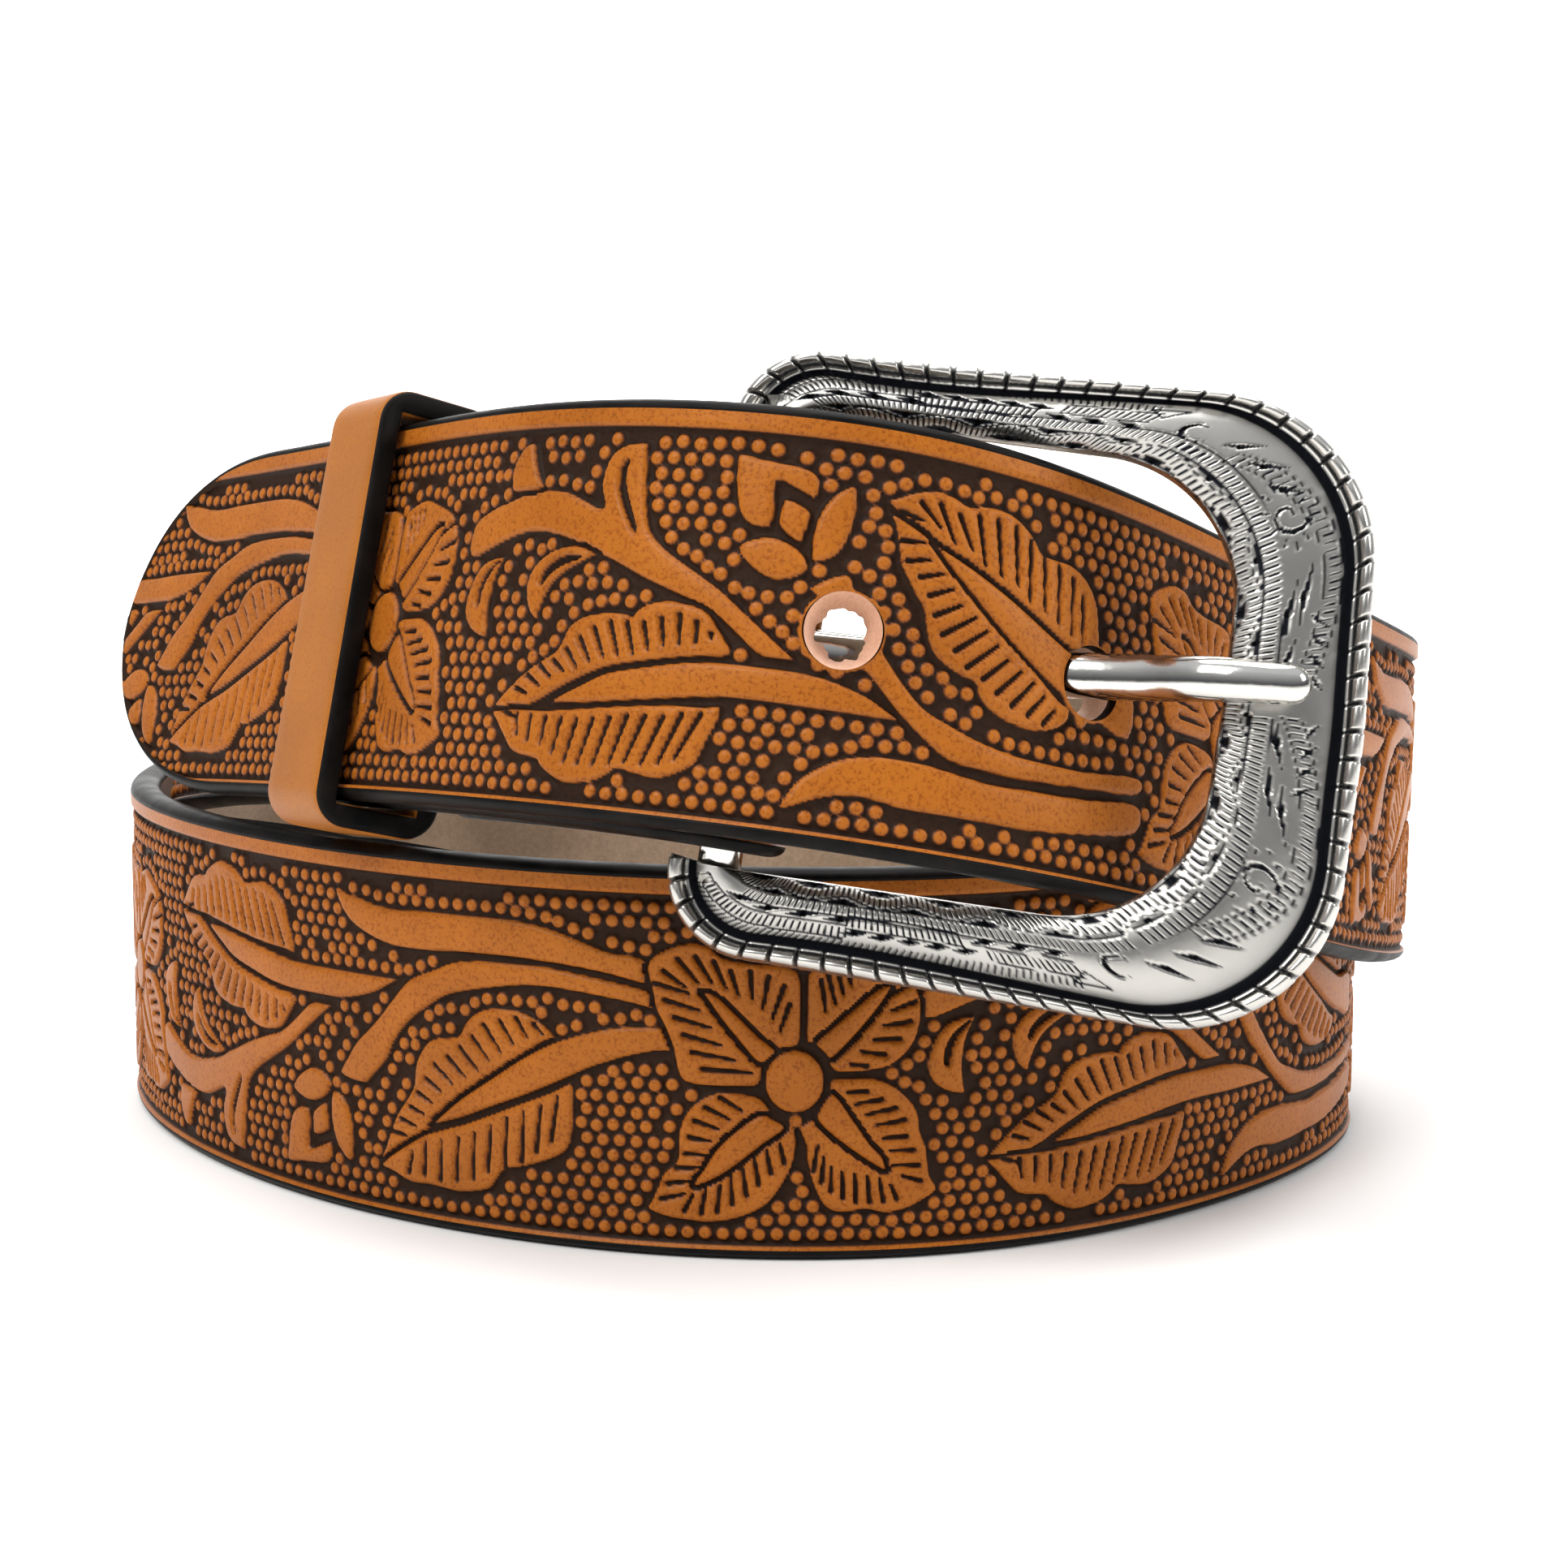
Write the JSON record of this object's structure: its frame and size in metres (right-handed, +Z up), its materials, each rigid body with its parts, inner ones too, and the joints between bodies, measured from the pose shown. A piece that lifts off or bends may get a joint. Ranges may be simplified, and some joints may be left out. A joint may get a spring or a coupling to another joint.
{
  "type": "western tooled leather belt",
  "caption": "Fastened western belt of floral tooled leather, wound in a double loop, with an engraved nickel buckle, prong and keeper loop.",
  "frame": {"origin": "on the surface the belt stands on, below the middle of its bounding box", "axes": "+Z up across the strap, -Y towards the buckle, +X towards the buckle's free side"},
  "size_m": [0.1564, 0.1594, 0.0861],
  "materials": {
    "strap_leather": "tan tooled leather with a dark antiqued ground and glossy black edges",
    "keeper_leather": "plain smooth tan leather with black edges",
    "buckle_nickel": "cast, engraved and nickel plated, darkened in the recesses",
    "prong_nickel": "polished nickel plate",
    "rivet_nickel": "satin nickel plate"
  },
  "bodies": {
    "root": {"strap": "strap_leather", "keeper": "keeper_leather", "buckle_frame": "buckle_nickel", "buckle_prong": "prong_nickel", "fold_rivet": "rivet_nickel"}
  },
  "joints": []
}
